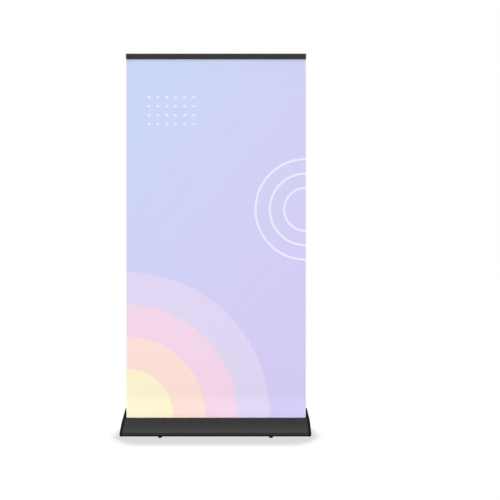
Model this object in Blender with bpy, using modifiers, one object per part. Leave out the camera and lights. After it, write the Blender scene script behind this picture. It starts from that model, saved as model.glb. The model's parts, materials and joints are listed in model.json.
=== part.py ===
"""Roll-up banner stand for a graphic 1.00 m wide and 2.00 m tall.

Metres, +Z up, the front towards -Y and the floor at Z = 0. Sections of the base and of the top rail are drawn
in (depth, height): depth is 0 in the graphic's plane and grows towards the back.
"""

import math

import bmesh
import bpy
from mathutils import Vector

# Driving dimensions
BANNER_Y = -0.0235  # where the graphic's plane stands
GAP = 0.0003  # between pieces that touch

FILM_WIDTH = 1.000
FILM_THICK = 0.0004
FILM_BOTTOM = 0.050
FILM_TOP = 2.100

BODY_LENGTH = 1.0025
BODY_WALL = 0.0018
BODY_BOTTOM = 0.012
SLOT_HALF = 0.0036
FRONT_LIP = 0.0895
REAR_LIP = 0.1055
BOSS_RADIUS = 0.0042
BORE_RADIUS = 0.0022
BOSSES = ((-0.042, 0.0176), (0.096, 0.0176), (0.0889, 0.0902), (0.013, 0.1002))

CAP_MARGIN = 0.0008  # how far an end cap stands proud of the body
CAP_THICK = 0.020
CAP_LEAN = 0.225  # how fast an end cap thins above CAP_LEAN_FROM
CAP_LEAN_FROM = 0.078
CAP_SWELL = 0.0045  # how much thicker an end cap is at its back
CAP_CENTRE = (0.022, 0.058)

ROLLER_DEPTH = 0.021
ROLLER_HEIGHT = 0.048
ROLLER_RADIUS = 0.019
ROLLER_WALL = 0.001
REAR_PAD_DEPTH = 0.050
ROLLER_LENGTH = 0.995
WOUND_RADIUS = 0.0205
ARBOR_RADIUS = 0.004

RAIL_LENGTH = 1.0000
RAIL_CAP = 0.0009
RAIL_HINGE = (-0.002, 2.1109)  # depth and height of the jaw's hinge bead
RAIL_DROP = 0.0231  # from the bead's centre to the rail's lower edge
RAIL_RISE = 0.0046  # from the bead's centre to the rail's upper edge

POLE_FOOT_DEPTH = 0.062
POLE_FOOT_HEIGHT = 0.056
POLE_HEAD_DEPTH = 0.0165
POLE_HEAD_HEIGHT = 2.100
POLE_RADIUS = 0.008
POLE_BORE = 0.0072
POLE_JOINTS = (0.690, 1.380)  # along the pole, where its sections meet
POLE_TOP = 2.035
HEAD_TOP = 2.0653
FERRULE_RADIUS = 0.0068
FERRULE_REACH = 0.060

FOOT_X = 0.303
FOOT_DEPTH = -0.054
PAD_RADIUS = 0.011
PAD_HEIGHT = 0.007
STUD_RADIUS = 0.0037

BLACK_METAL = ("black anodised aluminium", (0.045, 0.045, 0.048), 0.38, 0.6)
BLACK_PLASTIC = ("black plastic", (0.02, 0.02, 0.022), 0.5, 0.0)
BARE_METAL = ("mill aluminium", (0.62, 0.63, 0.65), 0.35, 1.0)
STEEL = ("zinc plated steel", (0.55, 0.55, 0.56), 0.3, 1.0)
RUBBER = ("black rubber", (0.015, 0.015, 0.015), 0.85, 0.0)
FELT = ("black felt", (0.02, 0.02, 0.02), 1.0, 0.0)
FILM = ("printed film", (0.66, 0.62, 0.9), 0.5, 0.0)
CORD = ("elastic cord", (0.03, 0.03, 0.03), 0.8, 0.0)

ALONG_X = (math.pi / 2, 0, math.pi / 2)  # turns a drawn (depth, height) outline into a section along X
TURN_TO_X = (0, math.pi / 2, 0)  # turns an axis along Z into one along X


for old in list(bpy.data.objects):
    bpy.data.objects.remove(old)

PARTS = bpy.data.collections.new("roll_up_banner_stand")
CUTTERS = bpy.data.collections.new("cutters")
for group in (PARTS, CUTTERS):
    bpy.context.scene.collection.children.link(group)


# Shapes

def material(finish):
    name, colour, roughness, metallic = finish
    found = bpy.data.materials.get(name)
    if found:
        return found
    made = bpy.data.materials.new(name)
    made.use_nodes = True
    shader = made.node_tree.nodes["Principled BSDF"]
    shader.inputs["Base Color"].default_value = (*colour, 1)
    shader.inputs["Roughness"].default_value = roughness
    shader.inputs["Metallic"].default_value = metallic
    return made


def place(name, mesh, finish=None, location=(0, 0, 0), rotation=(0, 0, 0), parent=None):
    """A piece with its finish, or with none a cutter."""
    piece = bpy.data.objects.new(name, mesh)
    piece.location = location
    piece.rotation_euler = rotation
    piece.parent = parent
    if finish:
        mesh.materials.clear()
        mesh.materials.append(material(finish))
        PARTS.objects.link(piece)
    else:
        piece.hide_render = True
        piece.display_type = "WIRE"
        CUTTERS.objects.link(piece)
    return piece


def smooth(mesh):
    mesh.shade_smooth()
    mesh.set_sharp_from_angle(angle=math.radians(35))
    return mesh


def finished(name, bm):
    """A mesh from bm, with its faces pointing out."""
    bmesh.ops.recalc_face_normals(bm, faces=bm.faces)
    mesh = bpy.data.meshes.new(name)
    bm.to_mesh(mesh)
    bm.free()
    return mesh


def evaluated(name, source):
    """The mesh that source's modifiers or curve make, welded. source is removed."""
    bpy.context.scene.collection.objects.link(source)
    depsgraph = bpy.context.evaluated_depsgraph_get()
    mesh = bpy.data.meshes.new_from_object(source.evaluated_get(depsgraph))
    data = source.data
    bpy.data.objects.remove(source)
    if isinstance(data, bpy.types.Curve):
        bpy.data.curves.remove(data)
    bm = bmesh.new()
    bm.from_mesh(mesh)
    bpy.data.meshes.remove(mesh)
    bmesh.ops.remove_doubles(bm, verts=bm.verts, dist=1e-6)
    return finished(name, bm)


def add_box(bm, low, high):
    made = bmesh.ops.create_cube(bm, size=1)["verts"]
    low, high = Vector(low), Vector(high)
    for vert in made:
        vert.co = (low + high) / 2 + (high - low) * vert.co


def boxes(name, corners):
    """A mesh of separate boxes, each given by its low and high corner."""
    bm = bmesh.new()
    for low, high in corners:
        add_box(bm, low, high)
    return finished(name, bm)


def outline(name, points, depth):
    """A flat closed outline in XY, extruded by depth about its plane."""
    curve = bpy.data.curves.new(name, "CURVE")
    curve.dimensions = "2D"
    curve.fill_mode = "BOTH"
    curve.extrude = depth / 2
    spline = curve.splines.new("POLY")
    spline.points.add(len(points) - 1)
    for point, (across, up) in zip(spline.points, points):
        point.co = (across, up, 0, 1)
    spline.use_cyclic_u = True
    return smooth(evaluated(name, bpy.data.objects.new(name, curve)))


def turned(name, profile, steps=32, ring=False):
    """A profile of (radius, height), listed down its outer side, turned about Z. A ring's profile is closed."""
    bm = bmesh.new()
    verts = [bm.verts.new((radius, 0, height)) for radius, height in profile]
    for first, second in zip(verts, verts[1:]):
        bm.edges.new((first, second))
    if ring:
        bm.edges.new((verts[-1], verts[0]))
    mesh = bpy.data.meshes.new(name)
    bm.to_mesh(mesh)
    bm.free()
    source = bpy.data.objects.new(name, mesh)
    screw = source.modifiers.new("turn", "SCREW")
    screw.steps = screw.render_steps = steps
    screw.use_merge_vertices = True
    screw.merge_threshold = 1e-6
    return smooth(evaluated(name, source))


def rod(name, radius, low, high, steps=24):
    return turned(name, ((0, high), (radius, high), (radius, low), (0, low)), steps)


def tube(name, outer, inner, low, high, steps=24):
    return turned(name, ((outer, high), (outer, low), (inner, low), (inner, high)), steps, ring=True)


def joined(name, meshes_and_places):
    """One mesh of several separate solids, each moved to its own place."""
    bm = bmesh.new()
    for mesh, offset in meshes_and_places:
        known = len(bm.verts)
        bm.from_mesh(mesh)
        bm.verts.ensure_lookup_table()
        bmesh.ops.translate(bm, verts=bm.verts[known:], vec=offset)
    return smooth(finished(name, bm))


def combine(piece, operation, tool):
    """Cuts tool from piece, or joins it on."""
    boolean = piece.modifiers.new(operation.lower(), "BOOLEAN")
    boolean.operation = operation
    boolean.object = tool
    boolean.solver = "EXACT"


def rounded(piece, width, segments=2):
    bevel = piece.modifiers.new("rounded edges", "BEVEL")
    bevel.width = width
    bevel.segments = segments
    bevel.limit_method = "ANGLE"
    bevel.angle_limit = math.radians(40)


def arc(centre, radius, start, stop, count):
    """Points on an arc, with its ends given in degrees from +X towards +Y."""
    angles = [math.radians(start + (stop - start) * n / count) for n in range(count + 1)]
    return [(centre[0] + radius * math.cos(a), centre[1] + radius * math.sin(a)) for a in angles]


def bezier(start, handle, other_handle, stop, count):
    """Points after start on a cubic curve to stop."""
    points = []
    for n in range(1, count + 1):
        t = n / count
        weights = ((1 - t) ** 3, 3 * (1 - t) ** 2 * t, 3 * (1 - t) * t**2, t**3)
        points.append(
            tuple(
                sum(w * p[k] for w, p in zip(weights, (start, handle, other_handle, stop)))
                for k in (0, 1)
            )
        )
    return points


def grown(path, by):
    """An open path moved sideways, to its right, by a distance."""
    moved = []
    for n, point in enumerate(path):
        before = Vector(path[max(n - 1, 0)])
        after = Vector(path[min(n + 1, len(path) - 1)])
        way = (after - before).normalized()
        moved.append((point[0] + way.y * by, point[1] - way.x * by))
    return moved


def at(x, depth, height):
    return (x, BANNER_Y + depth, height)


# Base

def body_path():
    """The body's outer side, from the slot down the front, under the base and over the back to the slot."""
    crest = (-SLOT_HALF - 0.001, FRONT_LIP)
    nose = (-0.0765, 0.0260)
    toe = (-0.0735, BODY_BOTTOM)
    heel = (0.104, BODY_BOTTOM)
    tuck = (0.1185, 0.024)
    bulge = (0.125, 0.055)
    shoulder = (0.062, 0.1015)
    brow = (SLOT_HALF + 0.0016, REAR_LIP)
    path = [(-SLOT_HALF, 0.079), (-SLOT_HALF, FRONT_LIP - 0.001), crest]
    path += bezier(crest, (-0.0311, 0.0708), (-0.0550, 0.0497), nose, 8)
    path += bezier(nose, (-0.0785, 0.0230), (-0.0785, BODY_BOTTOM), toe, 4)
    path += [heel]
    path += bezier(heel, (0.113, BODY_BOTTOM), (0.1165, 0.0165), tuck, 4)
    path += bezier(tuck, (0.1215, 0.034), (0.125, 0.043), bulge, 4)
    path += bezier(bulge, (0.125, 0.084), (0.096, 0.097), shoulder, 9)
    path += bezier(shoulder, (0.044, 0.104), (0.022, REAR_LIP), brow, 4)
    path += [(SLOT_HALF, REAR_LIP - 0.001), (SLOT_HALF, 0.0955)]
    return path


def build_body(pole_frame):
    bm = bmesh.new()
    row = [bm.verts.new(at(BODY_LENGTH / 2, depth, height)) for depth, height in body_path()]
    edges = [bm.edges.new(pair) for pair in zip(row, row[1:])]
    swept = bmesh.ops.extrude_edge_only(bm, edges=edges)["geom"]
    far = [item for item in swept if isinstance(item, bmesh.types.BMVert)]
    bmesh.ops.translate(bm, verts=far, vec=(-BODY_LENGTH, 0, 0))
    mesh = bpy.data.meshes.new("base_profile")
    bm.to_mesh(mesh)
    bm.free()
    body = place("base_profile", mesh, BLACK_METAL)
    shell = body.modifiers.new("wall", "SOLIDIFY")
    shell.thickness = BODY_WALL
    shell.offset = -1
    shell.use_even_offset = True

    half = BODY_LENGTH / 2
    boss = rod("boss", BOSS_RADIUS, -half, half, 16)
    bore = rod("bore", BORE_RADIUS, -half - 0.01, half + 0.01, 12)
    bosses = joined("bosses", [(boss, (-height, depth, 0)) for depth, height in BOSSES])
    bores = joined("bores", [(bore, (-height, depth, 0)) for depth, height in BOSSES])
    combine(body, "UNION", place("body_bosses", bosses, None, at(0, 0, 0), TURN_TO_X))
    combine(body, "DIFFERENCE", place("body_bores", bores, None, at(0, 0, 0), TURN_TO_X))

    well = place("body_socket_hole", rod("well", 0.012, 0.020, 0.070, 32), None, parent=pole_frame)
    combine(body, "DIFFERENCE", well)
    foot_hole = rod("foot_hole", 0.0069, 0, 0.02, 24)
    screw_hole = rod("screw_hole", 0.002, 0, 0.02, 12)
    floor_holes = [(foot_hole, at(side * FOOT_X, FOOT_DEPTH, 0)) for side in (-1, 1)]
    floor_holes += [(screw_hole, at(side * SOCKET_SCREW_X, SOCKET_SCREW_DEPTH, 0)) for side in (-1, 1)]
    combine(body, "DIFFERENCE", place("body_floor_holes", joined("floor_holes", floor_holes)))


def cap_outline():
    """An end cap's side view: the body's section and the fin above it."""
    path = body_path()
    around = grown(path[3:-7], CAP_MARGIN)
    peak = (0.0150, 0.1385)
    start, stop = around[-1], around[0]
    fin = bezier(start, (0.046, 0.1075), (0.033, 0.1385), peak, 7)
    fin += bezier(peak, (0.0035, 0.1385), (0.0015, 0.0970), stop, 8)[:-1]
    return around + fin


def cap_thickness(depth, height):
    """How thick an end cap is at a point: it leans in towards its top and swells towards its back."""
    back = min(1, max(0, (depth - 0.03) / 0.085))
    swell = CAP_SWELL * back * back * (3 - 2 * back)
    return CAP_THICK + swell - CAP_LEAN * max(0, height - CAP_LEAN_FROM)


def cap_mesh(name, side):
    """A loft of the side view, drawn in towards its middle as it nears the outer face."""
    edge = cap_outline()
    rings = ((1, 0), (1, 0.5), (0.987, 0.76), (0.955, 0.93), (0.91, 1), (0.5, 1))
    inner = BODY_LENGTH / 2 + GAP
    bm = bmesh.new()
    loops = []
    for scale, share in rings:
        loop = []
        for depth, height in edge:
            depth = CAP_CENTRE[0] + (depth - CAP_CENTRE[0]) * scale
            height = CAP_CENTRE[1] + (height - CAP_CENTRE[1]) * scale
            loop.append(bm.verts.new(at(side * (inner + share * cap_thickness(depth, height)), depth, height)))
        loops.append(loop)
    for near, far in zip(loops, loops[1:]):
        for n in range(len(edge)):
            bm.faces.new((near[n - 1], near[n], far[n], far[n - 1]))
    middle = bm.verts.new(at(side * (inner + CAP_THICK), *CAP_CENTRE))
    for n in range(len(edge)):
        bm.faces.new((loops[-1][n - 1], loops[-1][n], middle))
    bm.faces.new(loops[0])
    return smooth(finished(name, bm))


def build_cap(word, side):
    """An end cap with its screw seats, its bearing seat and its hollows."""
    inner = BODY_LENGTH / 2 + GAP
    cap = place(f"end_cap_{word}", cap_mesh("end_cap", side), BLACK_PLASTIC)

    seat = turned(
        "screw_seat",
        ((0, 0.03), (0.0038, 0.03), (0.0038, 0.004), (BORE_RADIUS, 0.004), (BORE_RADIUS, -0.002), (0, -0.002)),
        16,
    )
    seats = joined("seats", [(seat, (-side * height, depth, 0)) for depth, height in BOSSES])
    turn = (0, side * math.pi / 2, 0)
    combine(cap, "DIFFERENCE", place(f"cap_screw_seats_{word}", seats, None, at(side * inner, 0, 0), turn))

    bearing = rod("bearing_seat", 0.0089, -0.002, 0.0098, 32)
    combine(
        cap,
        "DIFFERENCE",
        place(f"cap_bearing_{word}", bearing, None, at(side * inner, ROLLER_DEPTH, ROLLER_HEIGHT), turn),
    )

    front = ((-0.050, 0.028), (-0.010, 0.028), (-0.006, 0.034), (-0.006, 0.066), (-0.014, 0.066))
    back = ((0.040, 0.022), (0.082, 0.022), (0.108, 0.036), (0.110, 0.058), (0.098, 0.076), (0.040, 0.080))
    for place_word, points in (("front", front), ("back", back)):
        hollow = outline(f"{place_word}_hollow", points, 0.028)
        tool = place(f"cap_{place_word}_hollow_{word}", hollow, None, at(side * inner, 0, 0), ALONG_X)
        combine(cap, "DIFFERENCE", tool)

    screw = turned(
        "cap_screw",
        (
            (0, 0.0068), (0.0022, 0.0067), (0.0032, 0.0058), (0.0032, 0.0043),
            (0.0018, 0.0043), (0.0018, -0.014), (0, -0.016),
        ),
        16,
    )
    for number, (depth, height) in enumerate(BOSSES, 1):
        place(f"cap_screw_{word}_{number}", screw.copy(), STEEL, at(side * inner, depth, height), turn)


def build_slot_felts():
    for word, near, far, low, high in (
        ("front", -SLOT_HALF + GAP, -0.0010, 0.080, 0.0880),
        ("rear", SLOT_HALF - GAP, 0.0010, 0.096, 0.1035),
    ):
        shape = boxes("slot_felt", [(at(-0.501, min(near, far), low), at(0.501, max(near, far), high))])
        place(f"slot_felt_{word}", shape, FELT)


def build_rear_pads():
    for word, side in (("left", -1), ("right", 1)):
        shape = boxes("rear_pad", [((-0.015, -0.009, 0), (0.015, 0.009, BODY_BOTTOM - GAP))])
        pad = place(f"rear_pad_{word}", shape, RUBBER, at(side * 0.40, REAR_PAD_DEPTH, 0))
        rounded(pad, 0.0015)


# Levelling feet

def build_feet():
    insert_profile = (
        (0.0065, 0.024), (0.0065, BODY_BOTTOM - 0.0004), (0.009, BODY_BOTTOM - 0.0004),
        (0.009, 0.0105), (0.0041, 0.0105), (0.0041, 0.024),
    )
    pad_profile = (
        (0.0041, PAD_HEIGHT), (PAD_RADIUS - 0.0025, PAD_HEIGHT), (PAD_RADIUS - 0.0007, PAD_HEIGHT - 0.0009),
        (PAD_RADIUS, PAD_HEIGHT - 0.0025), (PAD_RADIUS, 0.0012), (PAD_RADIUS - 0.001, 0),
        (0, 0),
    )
    for word, side in (("left", -1), ("right", 1)):
        here = at(side * FOOT_X, FOOT_DEPTH, 0)
        insert = turned("foot_insert", insert_profile, 24, ring=True)
        place(f"foot_insert_{word}", insert, STEEL, here)
        pad = turned("foot_pad", ((0, 0.0035), (0.0041, 0.0035)) + pad_profile, 32)
        place(f"foot_pad_{word}", pad, RUBBER, here)
        stud = rod("foot_screw", STUD_RADIUS, 0.0038, 0.027, 24)
        place(f"foot_screw_{word}", stud, STEEL, here)


# Roller, with its spring

def build_roller():
    here = at(0, ROLLER_DEPTH, ROLLER_HEIGHT)
    half = ROLLER_LENGTH / 2
    inner = ROLLER_RADIUS - ROLLER_WALL
    plug = inner - 0.0004
    flange = ROLLER_RADIUS - 0.0001
    mouth = BODY_LENGTH / 2 + GAP

    def on_axis(name, mesh, finish):
        place(name, mesh, finish, here, TURN_TO_X)

    on_axis("roller_tube", tube("roller_tube", ROLLER_RADIUS, inner, -half, half, 40), BARE_METAL)
    wound = tube("wound_graphic", WOUND_RADIUS, WOUND_RADIUS - 0.001, -FILM_WIDTH / 2, FILM_WIDTH / 2, 40)
    on_axis("wound_graphic", wound, FILM)

    idle = (
        (0, -half + 0.022), (plug, -half + 0.022), (plug, -half - GAP), (flange, -half - GAP),
        (flange, -half - 0.0025), (0.005, -half - 0.0025), (0.005, -mouth - 0.0080), (0, -mouth - 0.0080),
    )
    on_axis("idle_plug", turned("idle_plug", idle), BLACK_PLASTIC)
    on_axis("idle_bush", tube("idle_bush", 0.0086, 0.0054, -mouth - 0.0090, -mouth + 0.0008), BLACK_PLASTIC)

    drive = (
        (flange, half + 0.0025), (flange, half + GAP), (plug, half + GAP), (plug, half - 0.036),
        (ARBOR_RADIUS + 0.0005, half - 0.036), (ARBOR_RADIUS + 0.0005, half + 0.0025),
    )
    on_axis("spring_drive_plug", turned("spring_drive_plug", drive, ring=True), BLACK_PLASTIC)
    on_axis("spring_arbor", rod("spring_arbor", ARBOR_RADIUS, 0.325, mouth + 0.0085), STEEL)
    holder = tube("arbor_holder", 0.0086, ARBOR_RADIUS + 0.0004, mouth - 0.0008, mouth + 0.0090)
    on_axis("arbor_holder", holder, BLACK_PLASTIC)
    anchor = tube("spring_anchor", 0.0155, ARBOR_RADIUS + 0.0004, 0.328, 0.343)
    on_axis("spring_anchor", anchor, BLACK_PLASTIC)
    build_spring(0.347, half - 0.040, here)


def build_spring(start, stop, here):
    """The torsion spring wound round the arbor between its anchor and its drive plug."""
    turns, steps, radius = 12, 10, 0.0118
    curve = bpy.data.curves.new("torsion_spring", "CURVE")
    curve.dimensions = "3D"
    curve.bevel_depth = 0.0011
    curve.bevel_resolution = 1
    curve.use_fill_caps = True
    spline = curve.splines.new("POLY")
    count = turns * steps
    spline.points.add(count)
    for n, point in enumerate(spline.points):
        angle = 2 * math.pi * n / steps
        height = start + 0.0011 + (stop - start - 0.0022) * n / count
        point.co = (radius * math.cos(angle), radius * math.sin(angle), height, 1)
    spring = evaluated("torsion_spring", bpy.data.objects.new("torsion_spring", curve))
    place("torsion_spring", smooth(spring), STEEL, here, TURN_TO_X)


# Graphic and top rail

def build_graphic():
    thick = FILM_THICK / 2
    half = FILM_WIDTH / 2
    shape = boxes("graphic_panel", [(at(-half, -thick, FILM_BOTTOM), at(half, thick, FILM_TOP))])
    place("graphic_panel", shape, FILM)


def back_section():
    """The rail's back, with the open channel that holds the jaw's bead; drawn about the bead."""
    outer = arc((0, 0), RAIL_RISE, 0, 137, 9)
    inner = arc((0, 0), 0.0028, 137, -62, 12)
    back = [(RAIL_RISE, -RAIL_DROP)] + outer + inner
    back += [(0.003, -0.004), (0.003, -RAIL_DROP + 0.002), (0.0026, -RAIL_DROP + 0.002), (0.0026, -RAIL_DROP)]
    return back


def jaw_section():
    """The rail's front: a face plate, the lip that grips the film and the bead it turns on."""
    slope = math.radians(215)
    bead, neck = 0.0023, 0.0008
    face, front = -0.005, -0.0064
    spread = math.degrees(math.asin(neck / bead))
    lower = neck * math.sin(slope) / math.cos(slope)
    rise = neck / abs(math.cos(slope))
    foot = face * math.tan(slope)
    section = [(front, RAIL_RISE), (front, -RAIL_DROP), (0.0014, -RAIL_DROP), (0.0014, -RAIL_DROP + 0.0015)]
    section += [(face, -RAIL_DROP + 0.0015), (face, foot - rise)]
    section += arc((0, 0), bead, 215 + spread, 575 - spread, 16)
    section += [(face, foot + rise), (face, RAIL_RISE)]
    return section


def build_rail():
    depth, height = RAIL_HINGE
    hinge = at(0, depth, height)
    back = place("rail_back_profile", outline("rail_back", back_section(), RAIL_LENGTH), BLACK_METAL, hinge, ALONG_X)
    place("rail_front_jaw", outline("rail_jaw", jaw_section(), RAIL_LENGTH), BLACK_METAL, hinge, ALONG_X)

    holes = rod("catch_hole", 0.0018, -0.01, 0.01, 12)
    hole_pair = joined("catch_holes", [(holes, (side * CATCH_SCREW_X, 0, 0)) for side in (-1, 1)])
    drill = place("catch_holes", hole_pair, None, at(0, 0.003, CATCH_SCREW_HEIGHT), (math.pi / 2, 0, 0))
    combine(back, "DIFFERENCE", drill)

    inner = RAIL_LENGTH / 2 + GAP
    for word, side in (("left", -1), ("right", 1)):
        plate = ((inner, -0.0064, -RAIL_DROP), (inner + RAIL_CAP, RAIL_RISE, RAIL_RISE))
        stub = ((inner - 0.0100, -0.0042, -0.0199), (inner + 0.0005, 0.0009, -0.0099))
        plate_mesh, stub_mesh = (
            boxes("rail_cap", [((side * low[0], *low[1:]), (side * high[0], *high[1:]))])
            for low, high in (plate, stub)
        )
        cap = place(f"rail_cap_{word}", plate_mesh, BLACK_PLASTIC, hinge)
        combine(cap, "UNION", place(f"rail_cap_stub_{word}", stub_mesh, None, hinge))
    build_catch(drill)


def build_catch(drill):
    """The fork behind the rail that the pole's head stands in."""
    plate = boxes("catch_plate", [(at(-0.022, 0.0029, 2.0890), at(0.022, 0.0049, 2.1130))])
    catch = place("rail_catch", plate, BLACK_PLASTIC)
    prongs = boxes(
        "catch_prongs",
        [
            (at(min(near, far), 0.0040, 2.0900), at(max(near, far), 0.0190, 2.1100))
            for near, far in ((0.0113, 0.0143), (-0.0113, -0.0143))
        ],
    )
    combine(catch, "UNION", place("catch_prongs", prongs))
    combine(catch, "DIFFERENCE", drill)
    screw = turned(
        "catch_screw",
        ((0, 0.0018), (0.0018, 0.0017), (0.0027, 0.0009), (0.0027, 0), (0.0014, 0), (0.0014, -0.0043), (0, -0.0043)),
        16,
    )
    for word, side in (("left", -1), ("right", 1)):
        here = at(side * CATCH_SCREW_X, 0.0052, CATCH_SCREW_HEIGHT)
        place(f"catch_screw_{word}", screw.copy(), STEEL, here, (-math.pi / 2, 0, 0))


# Pole and socket

def build_pole_frame():
    """An empty at the pole's foot, leaning so that its Z runs up the pole."""
    frame = bpy.data.objects.new("pole_frame", None)
    frame.location = at(0, POLE_FOOT_DEPTH, POLE_FOOT_HEIGHT)
    lean = math.atan2(POLE_FOOT_DEPTH - POLE_HEAD_DEPTH, POLE_HEAD_HEIGHT - POLE_FOOT_HEIGHT)
    frame.rotation_euler = (lean, 0, 0)
    PARTS.objects.link(frame)
    return frame


def build_pole(frame):
    def on_pole(name, mesh, finish):
        return place(name, mesh, finish, parent=frame)

    first, second = POLE_JOINTS
    sections = (("lower", 0.003, first), ("mid", first, second), ("top", second, POLE_TOP))
    for word, low, high in sections:
        shape = tube(f"pole_{word}_tube", POLE_RADIUS, POLE_BORE, low + GAP, high)
        on_pole(f"pole_{word}_tube", shape, BLACK_METAL)
    for word, middle in (("lower", first), ("upper", second)):
        shape = tube("pole_ferrule", FERRULE_RADIUS, 0.003, middle - FERRULE_REACH, middle + FERRULE_REACH)
        on_pole(f"pole_ferrule_{word}", shape, STEEL)

    plug = (
        (0, 0.020), (FERRULE_RADIUS, 0.020), (FERRULE_RADIUS, 0.003), (POLE_RADIUS, 0.003),
        (POLE_RADIUS, 0.0008), (POLE_RADIUS - 0.0008, 0), (0, 0),
    )
    on_pole("pole_foot_plug", turned("pole_foot_plug", plug, 24), BLACK_PLASTIC)

    skirt = POLE_TOP - 0.013
    head = [(0, HEAD_TOP)]
    head += [(0.0025 + x, HEAD_TOP - 0.008 + y) for x, y in arc((0, 0), 0.008, 90, 0, 5)]
    head += [
        (0.0105, skirt + 0.001), (0.0097, skirt), (0.0085, skirt), (0.0085, POLE_TOP + 0.0005),
        (FERRULE_RADIUS, POLE_TOP + 0.0005), (FERRULE_RADIUS, POLE_TOP - 0.027), (0.003, POLE_TOP - 0.027),
        (0.003, POLE_TOP + 0.010), (0, POLE_TOP + 0.010),
    ]
    on_pole("pole_head", turned("pole_head", head, 28), BLACK_PLASTIC)
    on_pole("shock_cord", rod("shock_cord", 0.0015, 0.0205, POLE_TOP + 0.009, 8), CORD)

    socket_profile = (
        (0, -0.0005), (0.0085, -0.0005), (0.0085, 0.047), (0.0093, 0.049), (0.0109, 0.049),
        (0.0115, 0.048), (0.0115, -0.036), (0.020, -0.037), (0.020, -0.041), (0, -0.041),
    )
    socket = on_pole("pole_socket", turned("pole_socket", socket_profile), BLACK_PLASTIC)
    hole = rod("socket_screw_hole", 0.002, 0.008, 0.022, 12)
    pair = joined("socket_screw_holes", [(hole, (side * SOCKET_SCREW_X, 0, 0)) for side in (-1, 1)])
    combine(socket, "DIFFERENCE", place("socket_screw_holes", pair, None, at(0, SOCKET_SCREW_DEPTH, 0)))

    top = BODY_BOTTOM - 0.0004
    screw = turned(
        "socket_screw",
        (
            (0, 0.0178), (0.0015, 0.0170), (0.0015, top), (0.0032, top),
            (0.0032, top - 0.0009), (0.0020, top - 0.0017), (0, top - 0.0018),
        ),
        16,
    )
    for word, side in (("left", -1), ("right", 1)):
        place(f"socket_screw_{word}", screw.copy(), STEEL, at(side * SOCKET_SCREW_X, SOCKET_SCREW_DEPTH, 0))


SOCKET_SCREW_X = 0.0155
SOCKET_SCREW_DEPTH = 0.063
CATCH_SCREW_X = 0.0182
CATCH_SCREW_HEIGHT = 2.1000

pole_frame = build_pole_frame()
build_body(pole_frame)
build_cap("left", -1)
build_cap("right", 1)
build_slot_felts()
build_rear_pads()
build_feet()
build_roller()
build_graphic()
build_rail()
build_pole(pole_frame)
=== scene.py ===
"""Looks of the roll-up banner stand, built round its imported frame.

Metres, +Z up, the front towards -Y and the floor at Z = 0. Sections of the base and of the top rail are drawn
in (depth, height): depth is 0 in the graphic's plane and grows towards the back.
"""

import json
import math
from functools import partial

import bmesh
import bpy
import numpy as np
from mathutils import Matrix, Vector

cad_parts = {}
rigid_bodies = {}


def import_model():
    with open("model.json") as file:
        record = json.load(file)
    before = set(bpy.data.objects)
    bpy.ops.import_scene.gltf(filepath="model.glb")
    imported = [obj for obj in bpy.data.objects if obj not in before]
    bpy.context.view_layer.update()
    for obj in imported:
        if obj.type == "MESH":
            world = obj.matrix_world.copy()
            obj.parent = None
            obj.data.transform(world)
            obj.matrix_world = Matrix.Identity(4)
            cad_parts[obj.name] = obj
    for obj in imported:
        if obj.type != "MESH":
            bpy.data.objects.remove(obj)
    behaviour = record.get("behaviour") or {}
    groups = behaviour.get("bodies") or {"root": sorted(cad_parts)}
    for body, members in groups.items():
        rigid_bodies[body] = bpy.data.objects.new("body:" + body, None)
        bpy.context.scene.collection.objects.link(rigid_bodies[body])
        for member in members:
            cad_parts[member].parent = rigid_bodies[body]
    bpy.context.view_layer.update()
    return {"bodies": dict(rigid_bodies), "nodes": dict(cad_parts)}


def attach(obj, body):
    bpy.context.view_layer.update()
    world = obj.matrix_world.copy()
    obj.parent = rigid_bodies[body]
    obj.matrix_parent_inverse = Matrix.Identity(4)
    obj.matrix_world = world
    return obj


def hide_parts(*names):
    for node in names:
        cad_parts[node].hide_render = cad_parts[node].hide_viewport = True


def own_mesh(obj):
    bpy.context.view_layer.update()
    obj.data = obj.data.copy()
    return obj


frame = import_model()

# Dimensions, as in the part
BANNER_Y = -0.0235
GAP = 0.0003
FILM_WIDTH, FILM_BOTTOM, FILM_TOP = 1.000, 0.050, 2.100
BODY_LENGTH, BODY_WALL, BODY_BOTTOM = 1.0025, 0.0018, 0.012
SLOT_HALF, FRONT_LIP, REAR_LIP = 0.0036, 0.0895, 0.1055
BOSS_RADIUS, BORE_RADIUS = 0.0042, 0.0022
BOSSES = ((-0.042, 0.0176), (0.096, 0.0176), (0.0889, 0.0902), (0.013, 0.1002))
CAP_MARGIN, CAP_THICK, CAP_LEAN, CAP_LEAN_FROM = 0.0008, 0.020, 0.225, 0.078
CAP_SWELL, CAP_CENTRE = 0.0045, (0.022, 0.058)
ROLLER_DEPTH, ROLLER_HEIGHT = 0.021, 0.048
RAIL_LENGTH, RAIL_CAP = 1.0000, 0.0009
RAIL_HINGE, RAIL_DROP, RAIL_RISE = (-0.002, 2.1109), 0.0231, 0.0046
POLE_FOOT, POLE_HEAD_AT = (0.062, 0.056), (0.0165, 2.100)
POLE_RADIUS, POLE_BORE = 0.008, 0.0072
POLE_JOINTS, POLE_TOP, HEAD_TOP = (0.690, 1.380), 2.035, 2.0653
FERRULE_RADIUS = 0.0068
FOOT_X, FOOT_DEPTH = 0.303, -0.054
PAD_RADIUS, PAD_HEIGHT, STUD_RADIUS, PITCH = 0.011, 0.007, 0.0037, 0.00125
SOCKET_SCREW_X, SOCKET_SCREW_DEPTH = 0.0155, 0.063
CATCH_SCREW_X, CATCH_SCREW_HEIGHT = 0.0182, 2.1000
REAR_PAD_X, REAR_PAD_DEPTH = 0.40, 0.050

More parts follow.
